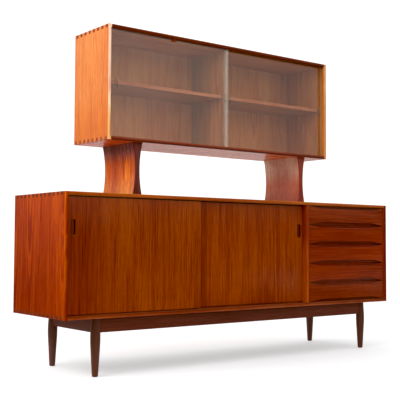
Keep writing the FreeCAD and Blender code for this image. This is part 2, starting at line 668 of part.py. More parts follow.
open_left = D.part_left + D.panel
open_wide = inner_right - open_left
front_wide = open_wide - 2 * D.drawer_play
front_tall = D.drawer_pitch - 2 * D.drawer_gap
backing_y = D.drawer_front_y + D.drawer_face
box_y = backing_y + D.drawer_backing
runners = []
for k in range(5):
    n = k + 1
    z0 = inner_low + D.drawer_pitch * k + D.drawer_gap
    x0 = open_left + D.drawer_play
    # front: a full backing, and a face whose upper and lower edges are cut back to a long hexagon
    b = new_body("drawer_front_%d" % n)
    W, H = front_wide, front_tall

    def outline(c):
        t, q = D.hex_tip, D.hex_corner
        return [(ZERO, ZERO), (t, ZERO), (q, c), (W - q, c), (W - t, ZERO), (W, ZERO),
                (W, H), (W - t, H), (W - q, H - c), (q, H - c), (t, H), (ZERO, H)]

    s = rect(sketch(b, "front%d_backing" % n, "XZ_Plane", ZERO - D.drawer_face), 0, 0, W, H)
    pad(b, s, D.drawer_backing, back=True)
    s1 = polygon(sketch(b, "front%d_face" % n, "XZ_Plane"), outline(D.hex_cut))
    s2 = polygon(sketch(b, "front%d_under" % n, "XZ_Plane", ZERO - D.drawer_face), outline(D.hex_cut + D.hex_under))
    f = b.newObject("PartDesign::AdditiveLoft", "front%d_loft" % n)
    f.Profile = s1
    f.Sections = [s2]
    f.Ruled = True
    b.Tip = f
    place(b, x0, D.drawer_front_y, z0)
    keep(b)

    # box: two grooved sides and a back; the bottom is let into the sides
    zs = z0 + D.drawer_rise
    mid = zs + D.drawer_side_tall / 2
    xl = x0
    xr = x0 + W - D.drawer_side
    sides = [box("side_left_%d" % n, xl, box_y, zs, D.drawer_side, D.drawer_long, D.drawer_side_tall),
             box("side_right_%d" % n, xr, box_y, zs, D.drawer_side, D.drawer_long, D.drawer_side_tall)]
    zb = z0 + D.bottom_rise
    back = box("back_%d" % n, xl + D.drawer_side, box_y + D.drawer_long - D.drawer_back_thick, zb + D.bottom_thick,
               W - 2 * D.drawer_side, D.drawer_back_thick, zs + D.drawer_side_tall - zb - D.bottom_thick)
    bottom = box("drawer_bottom_%d" % n, xl + D.drawer_side - D.bottom_let, box_y, zb,
                 W - 2 * D.drawer_side + 2 * D.bottom_let, D.drawer_long, D.bottom_thick)
    keep(bottom)
    deep = open_left + D.runner_wide + D.runner_play - x0
    ch = D.runner_tall + 2 * D.runner_play
    slots = [box("slot_left_%d" % n, xl - 5, box_y - 1, mid - ch / 2, deep + 5, D.drawer_long + 2, ch),
             box("slot_right_%d" % n, xr + D.drawer_side - deep, box_y - 1, mid - ch / 2, deep + 5,
                 D.drawer_long + 2, ch)]
    keep(cut("drawer_box_%d" % n, group("box_boards_%d" % n, sides + [back]), slots + [bottom]))
    runners.append(box("runner_left_%d" % n, open_left, D.runner_front, mid - D.runner_tall / 2,
                       D.runner_wide, D.runner_long, D.runner_tall))
    runners.append(box("runner_right_%d" % n, inner_right - D.runner_wide, D.runner_front, mid - D.runner_tall / 2,
                       D.runner_wide, D.runner_long, D.runner_tall))
keep(group("drawer_runners", runners))

# ----------------------------------------------------------------------------
# Top cabinet
# ----------------------------------------------------------------------------

h_tall = D.hutch_high - D.hutch_low
h_in_low = D.hutch_low + D.panel
h_in_high = D.hutch_high - D.panel
h_first = ZERO - D.hpin_width / 2
hb = flat_panel("hutch_bottom_board", D.hutch_left, D.hutch_front, D.hutch_low, D.hutch_width, D.hutch_depth,
                D.hpin_pitch, D.hpin_width, D.hpin_count, h_first, False)
ht = flat_panel("hutch_top_board", D.hutch_left, D.hutch_front, h_in_high, D.hutch_width, D.hutch_depth,
                D.hpin_pitch, D.hpin_width, D.hpin_count, h_first, True)
inner_wide = D.hutch_width - 2 * D.panel


low_z = h_in_low - D.low_track_let
low_tall = D.low_track_let + D.low_track_proud
blank_low = box("hutch_track_bottom_strip", hutch_in_left, D.track_front, low_z, inner_wide, D.track_wide, low_tall)
high_z = h_in_high - D.high_track_proud
high_tall = D.high_track_let + D.high_track_proud
blank_high = box("hutch_track_top_strip", hutch_in_left, D.track_front, high_z, inner_wide, D.track_wide, high_tall)
slots_low, slots_high = [], []
for tag, y in (("front", D.front_glass_y), ("rear", D.rear_glass_y)):
    slots_low.append(box("track_bottom_slot_" + tag, hutch_in_left - 1, y - D.glass_play, D.glass_low - D.glass_play,
                         inner_wide + 2, D.glass_thick + 2 * D.glass_play, 20))
    slots_high.append(box("track_top_slot_" + tag, hutch_in_left - 1, y - D.glass_play, high_z - 5,
                          inner_wide + 2, D.glass_thick + 2 * D.glass_play, high_tall + 5 - 2))
keep(cut("hutch_track_bottom", blank_low, slots_low))
keep(cut("hutch_track_top", blank_high, slots_high))
keep(cut("hutch_bottom", hb, dowels_high + [blank_low]))
keep(cut("hutch_top", ht, [blank_high]))

hl = upright_panel("hutch_side_left_board", D.hutch_left, D.hutch_front, D.hutch_low, D.hutch_depth, h_tall,
                   D.hpin_pitch, D.hpin_width, D.hpin_count, D.hpin_width / 2, True)
keep(cut("hutch_side_left", hl, pins_hl))
hr = upright_panel("hutch_side_right_board", hutch_in_right, D.hutch_front, D.hutch_low, D.hutch_depth, h_tall,
                   D.hpin_pitch, D.hpin_width, D.hpin_count, D.hpin_width / 2, False)
keep(cut("hutch_side_right", hr, pins_hr))

h_in_tall = h_in_high - h_in_low
b = box("hutch_divider_board", hdiv_left, D.hdiv_front, h_in_low, D.panel, D.back_front - D.hdiv_front, h_in_tall)
keep(cut("hutch_divider", b, pins_hd1 + pins_hd2))
keep(box("hutch_back", hutch_in_left, D.back_front, h_in_low, inner_wide, D.back_thick, h_in_tall))
keep(box("hutch_shelf_left", hutch_in_left + D.shelf_play, D.hshelf_front, D.hshelf_low,
         hdiv_left - hutch_in_left - 2 * D.shelf_play, D.hshelf_deep, D.panel))
keep(box("hutch_shelf_right", hdiv_right + D.shelf_play, D.hshelf_front, D.hshelf_low,
         hutch_in_right - hdiv_right - 2 * D.shelf_play, D.hshelf_deep, D.panel))

# Glass panes, each with a ground oval finger pull near both ends
for name, x0, wide, y0 in (
        ("glass_left", D.front_glass_left, D.front_glass_wide, D.front_glass_y),
        ("glass_right", D.rear_glass_left, D.rear_glass_wide, D.rear_glass_y)):
    b = new_body(name)
    s = rect(sketch(b, name + "_pane", "XZ_Plane"), 0, 0, wide, D.glass_high - D.glass_low)
    pad(b, s, D.glass_thick, back=True)
    for tag, ox in (("near", D.oval_left), ("far", wide - D.oval_right)):
        s = stadium(sketch(b, "%s_oval_%s" % (name, tag), "XZ_Plane"), ox, D.oval_height - D.glass_low,
                    D.oval_wide, D.oval_tall)
        pocket(b, s, D.oval_deep)
    place(b, x0, y0, D.glass_low)
    keep(b)

# Small block under the front of the top, in front of the left pane's middle
b = new_body("track_keeper")
pad(b, rect(sketch(b, "keeper_plan", "XY_Plane"), 0, 0, D.keeper_long, D.keeper_deep), D.keeper_tall)
dress(b, "Fillet", D.arris, lambda p: near(p.z, 0), "keeper_arris")
place(b, D.keeper_x, D.keeper_y, h_in_high - D.keeper_tall)
keep(b)

# ----------------------------------------------------------------------------
# Checks and files
# ----------------------------------------------------------------------------

doc.recompute()
for o in doc.Objects:
    if "Invalid" in o.State or "Error" in o.State:
        raise RuntimeError("failed object %s: %s" % (o.Name, o.State))
for f, before in CUTS:
    if not f.Shape.Volume < before.Shape.Volume - 1e-6:
        raise RuntimeError("cut removes nothing: " + f.Name)
labels = [o.Label for o in OUT]
if len(set(labels)) != len(labels) or len(labels) > 60:
    raise RuntimeError("labels clash or too many sub-parts: %d" % len(labels))
os.makedirs("parts", exist_ok=True)
for o in OUT:
    if o.Shape.isNull() or not o.Shape.isValid():
        raise RuntimeError("bad shape: " + o.Label)
    o.Shape.exportStep(os.path.join("parts", o.Label + ".step"))
total = Part.makeCompound([o.Shape for o in OUT])
bb = total.BoundBox
print("nodes", len(OUT), "solids", sum(len(o.Shape.Solids) for o in OUT))
print("box", [round(v, 2) for v in (bb.XMin, bb.YMin, bb.ZMin, bb.XMax, bb.YMax, bb.ZMax)])
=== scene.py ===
import math

import bpy
from mathutils import Matrix, Vector


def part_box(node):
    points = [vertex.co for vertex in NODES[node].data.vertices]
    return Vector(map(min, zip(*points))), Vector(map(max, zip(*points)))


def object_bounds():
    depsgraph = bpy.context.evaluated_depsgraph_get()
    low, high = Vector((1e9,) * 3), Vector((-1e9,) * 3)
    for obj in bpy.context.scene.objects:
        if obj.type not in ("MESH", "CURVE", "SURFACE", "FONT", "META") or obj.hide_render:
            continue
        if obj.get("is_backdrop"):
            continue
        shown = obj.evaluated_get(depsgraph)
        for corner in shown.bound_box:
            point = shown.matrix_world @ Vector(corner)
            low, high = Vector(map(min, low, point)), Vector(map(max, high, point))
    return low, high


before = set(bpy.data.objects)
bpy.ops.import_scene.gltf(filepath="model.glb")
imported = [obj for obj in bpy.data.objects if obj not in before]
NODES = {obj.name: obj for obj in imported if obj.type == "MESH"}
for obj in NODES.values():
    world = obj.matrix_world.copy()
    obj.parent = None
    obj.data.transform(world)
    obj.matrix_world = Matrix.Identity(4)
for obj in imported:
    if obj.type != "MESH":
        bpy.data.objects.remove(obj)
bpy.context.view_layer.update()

SCENE = bpy.context.scene


# ---------------------------------------------------------------------------
# Node helpers
# ---------------------------------------------------------------------------

class Graph:
    """A material's node tree, with short names for the nodes that the woods use."""

    def __init__(self, name):
        self.mat = bpy.data.materials.new(name)
        self.mat.use_nodes = True
        self.tree = self.mat.node_tree
        self.tree.nodes.clear()
        self.out = self.tree.nodes.new("ShaderNodeOutputMaterial")

    def node(self, kind, **props):
        n = self.tree.nodes.new(kind)
        for k, v in props.items():
            setattr(n, k, v)
        return n

    def put(self, socket, value):
        if value is None:
            return
        if isinstance(value, bpy.types.NodeSocket):
            self.tree.links.new(value, socket)
        else:
            socket.default_value = value

    def math(self, op, a, b=None, c=None, clamp=False):
        n = self.node("ShaderNodeMath", operation=op, use_clamp=clamp)
        for i, v in enumerate((a, b, c)):
            self.put(n.inputs[i], v)
        return n.outputs[0]

    def ranged(self, v, a, b, c=0.0, d=1.0, smooth=False):
        n = self.node("ShaderNodeMapRange", interpolation_type="SMOOTHSTEP" if smooth else "LINEAR", clamp=True)
        for i, x in enumerate((v, a, b, c, d)):
            self.put(n.inputs[i], x)
        return n.outputs[0]

    def xyz(self, x, y, z):
        n = self.node("ShaderNodeCombineXYZ")
        for i, v in enumerate((x, y, z)):
            self.put(n.inputs[i], v)
        return n.outputs[0]

    def split(self, v):
        n = self.node("ShaderNodeSeparateXYZ")
        self.put(n.inputs[0], v)
        return n.outputs

    def noise(self, vector, detail=2.0, rough=0.5, scale=1.0, twist=0.0):
        n = self.node("ShaderNodeTexNoise", noise_dimensions="3D")
        self.put(n.inputs["Vector"], vector)
        self.put(n.inputs["Scale"], scale)
        self.put(n.inputs["Detail"], detail)
        self.put(n.inputs["Roughness"], rough)
        self.put(n.inputs["Distortion"], twist)
        return n.outputs[0]

    def noise1(self, w, detail=2.0, rough=0.5):
        n = self.node("ShaderNodeTexNoise", noise_dimensions="1D")
        self.put(n.inputs["W"], w)
        self.put(n.inputs["Scale"], 1.0)
        self.put(n.inputs["Detail"], detail)
        self.put(n.inputs["Roughness"], rough)
        return n.outputs[0]

    def rand(self, w):
        n = self.node("ShaderNodeTexWhiteNoise", noise_dimensions="1D")
        self.put(n.inputs["W"], w)
        return n.outputs["Value"]

    def mix(self, fac, a, b, blend="MIX"):
        n = self.node("ShaderNodeMix", data_type="RGBA", blend_type=blend, clamp_factor=True)
        self.put(n.inputs[0], fac)
        self.put(n.inputs[6], a if isinstance(a, bpy.types.NodeSocket) else (*a, 1.0))
        self.put(n.inputs[7], b if isinstance(b, bpy.types.NodeSocket) else (*b, 1.0))
        return n.outputs[2]

    def ramp(self, fac, stops):
        n = self.node("ShaderNodeValToRGB")
        e = n.color_ramp.elements
        while len(e) < len(stops):
            e.new(0.5)
        for item, (pos, col) in zip(e, stops):
            item.position = pos
            item.color = (*col, 1.0)
        self.put(n.inputs[0], fac)
        return n.outputs[0]

    def bump(self, height, strength, distance, normal=None):
        n = self.node("ShaderNodeBump")
        n.inputs["Strength"].default_value = strength
        n.inputs["Distance"].default_value = distance
        self.put(n.inputs["Height"], height)
        self.put(n.inputs["Normal"], normal)
        return n.outputs[0]

    def soft_edge(self, radius):
        n = self.node("ShaderNodeBevel", samples=4)
        n.inputs["Radius"].default_value = radius
        return n.outputs[0]

    def surface(self, shader):
        self.tree.links.new(shader, self.out.inputs["Surface"])
        return self.mat


def lin(r, g, b):
    """An sRGB colour, 0 to 255, as linear values."""
    def one(v):
        v /= 255.0
        return v / 12.92 if v <= 0.04045 else ((v + 0.055) / 1.055) ** 2.4
    return (one(r), one(g), one(b))


AXES = {"x": 0, "y": 1, "z": 2}


def times(colour, *by):
    by = by * 3 if len(by) == 1 else by
    return tuple(min(1.0, v * k) for v, k in zip(colour, by))


def teak(name, along, across, mid, vary=1.0, end=None, leaf=0.16, flat=0.4, seed=0.0, wander=0.018, rough=0.42,
         gloss=0.35, tint=(1.0, 0.35, 0.12), shade=None, pore=0.45, edge=0.0012, worn=0.5, reach=3.4, tone=0.9, relief=0.30, smears=0.26):
    """Wood with its grain along one axis. mid is the middle colour, linear, and vary how far the streaks leave it.
    across is the width's axis; leaf the width of one veneer leaf or glued board; flat goes from 0, quarter-sawn,
    to 1, flat-sawn with arches; reach is how many streaks follow each other in a metre; worn lightens the arrises; relief is how open the pores are
    and smears how uneven the polish is."""
    g = Graph(name)
    end = end or times(mid, 0.34, 0.24, 0.26)
    where = g.node("ShaderNodeTexCoord")
    axes = g.split(where.outputs["Object"])
    a = g.math("ADD", axes[AXES[along]], 3.1 + seed * 1.37)
    b = g.math("ADD", axes[AXES[across]], 5.3 + seed * 0.713)
    c = g.math("ADD", axes[3 - AXES[along] - AXES[across]], 0.9 + seed * 0.37)
    # the grain wanders a little from side to side
    slow = g.noise(g.xyz(g.math("MULTIPLY", b, 4.0), g.math("MULTIPLY", a, 1.3), c), 2.0)
    slow = g.math("SUBTRACT", slow, 0.5)
    bw = g.math("MULTIPLY_ADD", slow, wander, b)
    # leaves side by side, each cut from its own place in the log
    index = g.math("FLOOR", g.math("DIVIDE", bw, leaf))
    inside = g.math("SUBTRACT", g.math("FRACT", g.math("DIVIDE", bw, leaf)), 0.5)
    r1 = g.rand(g.math("ADD", index, seed * 3.7 + 0.31))
    r2 = g.rand(g.math("ADD", index, seed * 5.1 + 17.7))
    # growth rings about a pith that leans along the board: straight lines when it is far, arches when it is near
    pith = g.math("MULTIPLY_ADD", g.math("SUBTRACT", r1, 0.5), 3.0 * (1.0 - flat) + 0.25, inside)
    pb = g.math("MULTIPLY", pith, leaf)
    lean = g.math("MULTIPLY_ADD", g.math("ADD", a, g.math("MULTIPLY", r2, 3.0)), 0.055 * flat, 0.012)
    lean = g.math("PINGPONG", lean, 0.080)
    pc = g.math("ADD", g.math("MULTIPLY_ADD", r2, 0.02, 0.006), g.math("MULTIPLY_ADD", slow, wander, lean))
    ring = g.math("SQRT", g.math("ADD", g.math("MULTIPLY", pb, pb), g.math("MULTIPLY", pc, pc)))
    rings = g.noise1(g.math("MULTIPLY_ADD", ring, 260.0, g.math("MULTIPLY", r1, 40.0)), 2.5, 0.6)
    rings = g.ranged(rings, 0.30, 0.70, smooth=True)

    def drawn(per_b, per_a, detail, shift):
        """Streaks, per_b of them in a metre of width and per_a in a metre of length."""
        return g.noise(g.xyz(g.math("MULTIPLY_ADD", bw, per_b, shift), g.math("MULTIPLY", c, per_b), g.math("MULTIPLY", a, per_a)),
                       detail, 0.58)

    s0 = drawn(22.0, reach * 0.45, 2.0, 1.7)
    s1 = drawn(62.0, reach, 2.0, 5.1)
    s2 = drawn(150.0, reach * 2.0, 2.0, 9.2)
    s3 = drawn(420.0, reach * 4.0, 1.0, 3.3)
    fine = drawn(1250.0, 24.0, 0.0, 0.6)
    pores = g.ranged(fine, 0.34, 0.42, 1.0, 0.0, smooth=True)
    broad = g.noise(g.xyz(g.math("MULTIPLY", b, 3.4), g.math("MULTIPLY", c, 3.4), g.math("MULTIPLY", a, 1.7)), 1.0)
    value = g.math("MULTIPLY_ADD", g.math("SUBTRACT", s0, 0.5), 0.75, 0.5)
    for s, w in ((s1, 0.62), (s2, 0.72), (s3, 0.62), (rings, 0.22 + 0.45 * flat), (broad, tone), (r2, 0.16)):
        value = g.math("MULTIPLY_ADD", g.math("SUBTRACT", s, 0.5), w * vary, value)
    value = g.math("MAXIMUM", g.math("MINIMUM", value, 1.0), 0.0)
    colour = g.ramp(value, [(0.0, times(mid, 0.62, 0.38, 0.36)), (0.25, times(mid, 0.84, 0.68, 0.64)), (0.5, mid),
                            (0.75, times(mid, 1.14, 1.34, 1.40)), (1.0, times(mid, 1.30, 1.75, 1.95))])
    colour = g.mix(g.math("MULTIPLY", pores, pore), colour, times(mid, 0.40, 0.28, 0.28))
    if shade:
        colour = shade(g, axes, colour, where)
    # end grain, darker and duller
    nrm = g.split(where.outputs["Normal"])
    is_end = g.ranged(g.math("ABSOLUTE", nrm[AXES[along]]), 0.80, 0.93)
    speck = g.noise(g.xyz(g.math("MULTIPLY", b, 520.0), g.math("MULTIPLY", c, 520.0), g.math("MULTIPLY", a, 520.0)), 2.0, 0.6)
    endval = g.math("MULTIPLY_ADD", rings, 0.45, g.math("MULTIPLY", speck, 0.6))
    colour = g.mix(is_end, colour, g.ramp(endval, [(0.1, times(end, 0.5)), (0.9, times(end, 1.5))]))
    # handling: arrises rubbed lighter, faint smears and a few fine scratches
    round_ = g.soft_edge(edge)
    geo = g.node("ShaderNodeNewGeometry")
    dot = g.node("ShaderNodeVectorMath", operation="DOT_PRODUCT")
    g.put(dot.inputs[0], round_)
    g.put(dot.inputs[1], geo.outputs["True Normal"])
    patch = g.noise(g.xyz(g.math("MULTIPLY", axes[0], 24.0), g.math("MULTIPLY", axes[1], 24.0), g.math("MULTIPLY", axes[2], 24.0)), 3.0, 0.65)
    arris = g.math("MULTIPLY", g.ranged(dot.outputs["Value"], 0.97, 0.82), g.ranged(patch, 0.25, 0.65, 0.35, 1.0))
    colour = g.mix(g.math("MULTIPLY", arris, worn), colour, times(mid, 1.5, 1.9, 2.2))
    smear = g.noise(g.xyz(g.math("MULTIPLY", axes[0], 5.0), g.math("MULTIPLY", axes[1], 5.0), g.math("MULTIPLY", axes[2], 5.0)), 3.0, 0.6, twist=0.6)
    scratch = g.noise(g.xyz(g.math("MULTIPLY", b, 60.0), g.math("MULTIPLY", c, 60.0), g.math("MULTIPLY", a, 500.0)), 1.0, twist=1.0)
    scratch = g.ranged(scratch, 0.74, 0.80, smooth=True)
    ro = g.math("MULTIPLY_ADD", g.math("SUBTRACT", smear, 0.5), smears, rough)
    ro = g.math("MULTIPLY_ADD", g.math("SUBTRACT", s2, 0.5), 0.16, ro)
    ro = g.math("MULTIPLY_ADD", pores, 0.10, ro)
    ro = g.math("MULTIPLY_ADD", is_end, 0.18, ro)
    ro = g.math("MULTIPLY_ADD", scratch, 0.10, ro, clamp=True)
    height = g.math("MULTIPLY_ADD", pores, -0.8, g.math("MULTIPLY", s2, 0.6))
    height = g.math("MULTIPLY_ADD", scratch, -0.3, height)
    p = g.node("ShaderNodeBsdfPrincipled")
    g.put(p.inputs["Base Color"], colour)
    g.put(p.inputs["Roughness"], ro)
    p.inputs["Specular IOR Level"].default_value = gloss
    p.inputs["Specular Tint"].default_value = (*tint, 1.0)
    g.put(p.inputs["Normal"], g.bump(height, relief, 0.0004, round_))
    return g.surface(p.outputs[0])


def below(limit_axis, start, stop, by):
    """A gradient across the piece, for painted light and shade and for changes of tone: the colour is multiplied by
    `by` where the axis is below start.
    """
    def shade(g, axes, colour, where):
        m = g.ranged(axes[AXES[limit_axis]], start, stop, 1.0, 0.0, smooth=True)
        return g.mix(m, colour, g.mix(1.0, colour, by, "MULTIPLY"))
    return shade


def span(axis, low, high, soft, by):
    """The colour is multiplied by `by` between low and high along an axis, with soft sides."""
    def shade(g, axes, colour, where):
        v = axes[AXES[axis]]
        m = g.math("MULTIPLY", g.ranged(v, low - soft, low + soft, 0.0, 1.0, smooth=True), g.ranged(v, high - soft, high + soft, 1.0, 0.0, smooth=True))
        return g.mix(m, colour, g.mix(1.0, colour, by, "MULTIPLY"))
    return shade


def spot(centre, radii, by, soft=0.35):
    """A patch of other colour, wide along radii (None where an axis doesn't count): streaks of tone, and on the left
    riser a painted highlight.
    """
    def shade(g, axes, colour, where):
        total = None
        for i in range(3):
            if radii[i] is None:
                continue
            d = g.math("DIVIDE", g.math("SUBTRACT", axes[i], centre[i]), radii[i])
            d = g.math("MULTIPLY", d, d)
            total = d if total is None else g.math("ADD", total, d)
        ragged = g.noise(g.xyz(g.math("MULTIPLY", axes[0], 60.0), g.math("MULTIPLY", axes[1], 60.0), g.math("MULTIPLY", axes[2], 12.0)), 2.0)
        total = g.math("MULTIPLY_ADD", g.math("SUBTRACT", ragged, 0.5), 0.9, total)
        m = g.ranged(total, 1.0 - soft, 1.0 + soft, 1.0, 0.0, smooth=True)
        return g.mix(m, colour, g.mix(1.0, colour, by, "MULTIPLY"))
    return shade


def block(limits, by):
    """The colour is multiplied by `by` inside a block; limits is {axis: (low, high, soft)}, with None for an open end."""
    def shade(g, axes, colour, where):
        m = None
        for axis, (low, high, soft) in limits.items():
            for at, sign in ((low, 1.0), (high, -1.0)):
                if at is not None:
                    e = g.ranged(axes[AXES[axis]], at - soft, at + soft, 0.5 - 0.5 * sign, 0.5 + 0.5 * sign, smooth=True)
                    m = e if m is None else g.math("MULTIPLY", m, e)
        return g.mix(m, colour, g.mix(1.0, colour, by, "MULTIPLY"))
    return shade


def front_edge(plane, by, depth=0.0022):
    """The strip along a board's front edge, its colour multiplied by `by`: painted highlights and painted shade on some
    boards, plain changes of tone on others.
    """
    def shade(g, axes, colour, where):
        m = g.ranged(axes[1], plane + depth, plane + depth * 1.5, 1.0, 0.0)
        return g.mix(m, colour, g.mix(1.0, colour, by, "MULTIPLY"))
    return shade


def both(*parts):
    def shade(g, axes, colour, where):
        for part in parts:
            colour = part(g, axes, colour, where)
        return colour
    return shade


def pane(name, low, high, free, film):
    """Clear glass from x = low to x = high, with two ground oval finger pulls. free is the edge that laps over the other
    pane, -1 or 1: the lap can't be wiped, so it is dusty. film is how much wiped haze the rest has."""
    g = Graph(name)
    where = g.node("ShaderNodeTexCoord")
    geo = g.node("ShaderNodeNewGeometry")
    fres = g.node("ShaderNodeFresnel")
    g.put(fres.inputs["IOR"], g.ranged(geo.outputs["Backfacing"], 0.0, 1.0, 1.5, 1.0 / 1.5))
    x, y, z = g.split(where.outputs["Object"])
    wipe = g.noise(g.xyz(g.math("MULTIPLY", x, 3.0), 0.0, g.math("MULTIPLY", z, 9.0)), 4.0, 0.65, twist=1.5)
    haze = g.ranged(wipe, 0.35, 0.75, 0.001 * film, 0.022 * film)
    edge = high if free > 0 else low
    lap = g.ranged(g.math("ABSOLUTE", g.math("SUBTRACT", x, edge)), 0.0145, 0.0165, 1.0, 0.0)
    if free > 0:
        lap = g.math("MULTIPLY", lap, g.ranged(x, edge - 0.0050, edge - 0.0035, 1.0, 0.0))
    haze = g.math("MULTIPLY_ADD", lap, 0.17, haze)
    rim_shade = None
    ground = None
    for xc in (low + 0.029, high - 0.019):
        dx = g.math("DIVIDE", g.math("SUBTRACT", x, xc), 0.012)
        dz = g.math("DIVIDE", g.math("SUBTRACT", z, 1.288), 0.0265)
        e = g.math("SQRT", g.math("ADD", g.math("MULTIPLY", dx, dx), g.math("MULTIPLY", dz, dz)))
        ins = g.ranged(e, 0.86, 0.94, 1.0, 0.0, smooth=True)
        # painted shade: the ground rim is tinted dark on its right side, standing in for the dark that the slope
        # mirrors there
        side = g.ranged(g.math("MULTIPLY_ADD", dz, -0.2, dx), 0.45, 1.0)
        ring = g.math("MULTIPLY", g.ranged(g.math("ABSOLUTE", g.math("SUBTRACT", e, 0.90)), 0.06, 0.20, 1.0, 0.0, smooth=True), side)
        ground = ins if ground is None else g.math("MAXIMUM", ground, ins)
        rim_shade = ring if rim_shade is None else g.math("MAXIMUM", rim_shade, ring)
    frost = g.noise(where.outputs["Object"], 2.0, 0.6, scale=900.0)
    clear = g.node("ShaderNodeBsdfTransparent")
    tint = g.mix(ground, (0.965, 0.945, 0.925), (0.84, 0.81, 0.78))
    g.put(clear.inputs["Color"], g.mix(rim_shade, tint, (0.35, 0.30, 0.26)))
    gloss = g.node("ShaderNodeBsdfGlossy")
    rough = g.ranged(wipe, 0.3, 0.8, 0.0, 0.05)
    g.put(gloss.inputs["Roughness"], g.math("MULTIPLY_ADD", ground, g.ranged(frost, 0.3, 0.7, 0.25, 0.45), rough))
    dust = g.node("ShaderNodeBsdfDiffuse")
    dust.inputs["Color"].default_value = (0.95, 0.78, 0.66, 1.0)
    one = g.node("ShaderNodeMixShader")
    g.put(one.inputs[0], fres.outputs[0])
    g.tree.links.new(clear.outputs[0], one.inputs[1])
    g.tree.links.new(gloss.outputs[0], one.inputs[2])
    two = g.node("ShaderNodeMixShader")
    g.put(two.inputs[0], g.math("MULTIPLY_ADD", g.math("SUBTRACT", ground, g.math("MULTIPLY", rim_shade, ground)), 0.05, haze))
    g.tree.links.new(one.outputs[0], two.inputs[1])
    g.tree.links.new(dust.outputs[0], two.inputs[2])
    # the cut edges of the sheet are green and bright
    cut = g.node("ShaderNodeBsdfPrincipled")
    cut.inputs["Base Color"].default_value = (0.50, 0.56, 0.44, 1.0)
    cut.inputs["Roughness"].default_value = 0.25
    nx = g.split(where.outputs["Normal"])[0]
    three = g.node("ShaderNodeMixShader")
    g.put(three.inputs[0], g.ranged(g.math("ABSOLUTE", nx), 0.5, 0.8, 0.0, 0.75))
    g.tree.links.new(two.outputs[0], three.inputs[1])
    g.tree.links.new(cut.outputs[0], three.inputs[2])
    return g.surface(three.outputs[0])


def metal(name, colour, rough):
    g = Graph(name)
    where = g.node("ShaderNodeTexCoord")
    n = g.noise(where.outputs["Object"], 3.0, 0.6, scale=420.0)
    m = g.noise(where.outputs["Object"], 2.0, 0.5, scale=60.0)
    p = g.node("ShaderNodeBsdfPrincipled")
    g.put(p.inputs["Base Color"], g.mix(g.ranged(m, 0.4, 0.75), colour, tuple(v * 0.55 for v in colour)))
    p.inputs["Metallic"].default_value = 1.0
    g.put(p.inputs["Roughness"], g.ranged(n, 0.3, 0.7, rough, rough + 0.22))
    g.put(p.inputs["Normal"], g.bump(n, 0.2, 0.0002))
    return g.surface(p.outputs[0])


def plastic(name, colour):
    g = Graph(name)
    where = g.node("ShaderNodeTexCoord")
    x, y, z = g.split(where.outputs["Object"])
    drag = g.noise(g.xyz(g.math("MULTIPLY", x, 9.0), g.math("MULTIPLY", y, 900.0), g.math("MULTIPLY", z, 900.0)), 3.0, 0.6)
    n = g.noise(where.outputs["Object"], 4.0, 0.6, scale=35.0)
    p = g.node("ShaderNodeBsdfPrincipled")
    col = g.mix(g.ranged(n, 0.42, 0.75), colour, tuple(v * 0.62 for v in colour))
    g.put(p.inputs["Base Color"], g.mix(g.ranged(drag, 0.55, 0.75, 0.0, 0.5), col, tuple(v * 0.5 for v in colour)))
    g.put(p.inputs["Roughness"], g.ranged(drag, 0.3, 0.7, 0.45, 0.7))
    g.put(p.inputs["Normal"], g.bump(drag, 0.25, 0.0003))
    return g.surface(p.outputs[0])


# ---------------------------------------------------------------------------
# Materials, node by node
# ---------------------------------------------------------------------------

LOOK = {}
HUTCH_FRONT, BASE_FRONT = -0.0705, -0.2375
SIDE_HUTCH = (0.54, 0.160, 0.030)
SIDE_BASE = (0.305, 0.0340, 0.0010)
CASE = (0.24, 0.036, 0.004)
DOOR = (0.245, 0.0320, 0.0010)
DRAWER = (0.245, 0.0200, 0.0010)
FRAME = (0.058, 0.011, 0.006)
RISER_LEFT = (0.50, 0.089, 0.0055)
# painted highlight: the right riser's colour at the top of its left face is near white orange, for the bright light it
# mirrors there
RISER_RIGHT_LIT = (1.0, 0.74, 0.55)
# interior teak, much lighter than the outer case: painted light for the light that reaches inside
INSIDE_LIT = (0.74, 0.325, 0.100)
EDGE_DARK = (0.45, 0.16, 0.12)

LOOK["base_top"] = teak("teak_base_top", "x", "y", CASE, leaf=0.16, seed=1, end=(0.085, 0.009, 0.001),
                        shade=both(front_edge(BASE_FRONT, (1.40, 1.65, 2.0), 0.004),
                                   # painted highlight: the upper part of the front edge is lightened
                                   block({"y": (None, BASE_FRONT + 0.005, 0.0005), "z": (0.7705, None, 0.0008)}, (1.25, 1.4, 0.8))))
LOOK["base_bottom"] = teak("teak_base_bottom", "x", "y", CASE, leaf=0.16, seed=2, end=(0.075, 0.008, 0.001),
                           # painted shade along the upper part of the front edge, under the doors, and a painted
                           # pinkish highlight along its lower arris
                           shade=both(block({"y": (None, BASE_FRONT + 0.005, 0.0005), "z": (0.2520, None, 0.0010)}, (0.95, 0.85, 0.7)),
                                      block({"y": (None, BASE_FRONT + 0.005, 0.0005), "z": (0.2553, None, 0.0012)}, (0.50, 0.34, 0.30)),
                                      block({"y": (None, BASE_FRONT + 0.005, 0.0005), "z": (None, 0.2500, 0.0010)}, (1.25, 1.5, 6.0))))
LOOK["base_side_left"] = teak("teak_base_side_left", "z", "y", SIDE_BASE, leaf=0.12, seed=3, flat=0.5, gloss=0.06, rough=0.3, tint=(1.0, 0.25, 0.05), vary=1.8,
                              # painted shade: darker towards the bottom, as the light from the left falls off; painted
                              # highlight: the front edge is lightened; painted shade: the right part of the front edge
                              # is darkened
                              shade=both(below("z", 0.25, 0.80, (0.77, 0.66, 0.8)), front_edge(BASE_FRONT, (1.35, 1.7, 1.0), 0.004),
                                         block({"y": (None, BASE_FRONT + 0.005, 0.0005), "x": (-0.9935, None, 0.0012)}, (0.60, 0.42, 0.8))))
